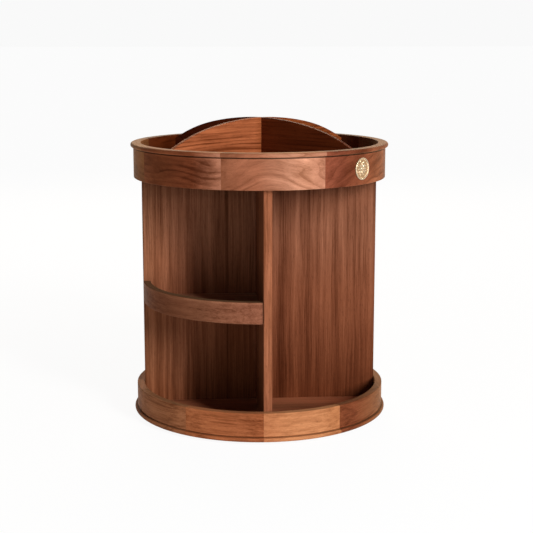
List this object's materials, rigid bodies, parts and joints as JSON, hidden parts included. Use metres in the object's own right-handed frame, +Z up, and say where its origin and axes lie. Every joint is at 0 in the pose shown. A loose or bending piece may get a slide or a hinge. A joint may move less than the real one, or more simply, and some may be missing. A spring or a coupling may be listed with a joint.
{
  "type": "rotating cosmetic cabinet",
  "caption": "Round wooden cosmetic cabinet on a turntable bearing: open compartments with curved-rail shelves under a rimmed tray divided by crossed arched boards.",
  "frame": {"origin": "on the turning axis, at the surface that the feet stand on", "axes": "+Z up along the turning axis, -Y towards the front divider, +X to the right seen from the front"},
  "size_m": [0.297, 0.297, 0.3454],
  "materials": {
    "walnut_light": "satin, oiled",
    "walnut": "satin, oiled",
    "walnut_dark": "satin, oiled",
    "beech": "plain",
    "brass": "satin",
    "aluminium": "turned",
    "steel": "polished",
    "nylon": "matte",
    "rubber": "matte"
  },
  "bodies": {
    "stand": {"bearing_outer_ring": "aluminium", "rubber_foot_1": "rubber", "rubber_foot_2": "rubber", "rubber_foot_3": "rubber", "rubber_foot_4": "rubber", "rubber_foot_5": "rubber", "rubber_foot_6": "rubber"},
    "cabinet": {"base_stave_01": "walnut_light", "base_stave_02": "walnut", "base_stave_03": "walnut", "base_stave_04": "walnut_dark", "base_stave_05": "walnut_light", "base_stave_06": "walnut", "base_stave_07": "walnut", "base_stave_08": "walnut", "base_stave_09": "walnut_dark", "base_stave_10": "walnut", "tray_stave_01": "walnut_light", "tray_stave_02": "walnut", "tray_stave_03": "walnut", "tray_stave_04": "walnut_dark", "tray_stave_05": "walnut_light", "tray_stave_06": "walnut", "tray_stave_07": "walnut", "tray_stave_08": "walnut_dark", "base_floor": "walnut", "cross_panel": "walnut", "front_divider": "walnut", "rear_divider": "walnut", "front_shelf": "walnut", "rear_shelf": "walnut", "front_shelf_rail": "walnut", "rear_shelf_rail": "walnut", "tray_floor": "walnut", "tray_arch_lower": "walnut", "tray_arch_upper": "walnut", "embossed_disc": "brass", "bearing_inner_ring": "aluminium", "bearing_screws": "steel", "floor_screws": "steel", "tray_dowels": "beech"},
    "ball_cage": {"ball_cage": "nylon", "bearing_balls": "steel"}
  },
  "joints": [
    {"name": "cabinet_spin", "type": "hinge", "parent": "stand", "child": "cabinet", "pos_m": [0, 0, 0.0041], "axis": [0, 0, 1], "continuous": true},
    {"name": "ball_cage_spin", "type": "hinge", "parent": "stand", "child": "ball_cage", "pos_m": [0, 0, 0.0041], "axis": [0, 0, 1], "continuous": true}
  ],
  "couplings": [
    {"joint": "ball_cage_spin", "follows": "cabinet_spin", "ratio": 0.5}
  ]
}
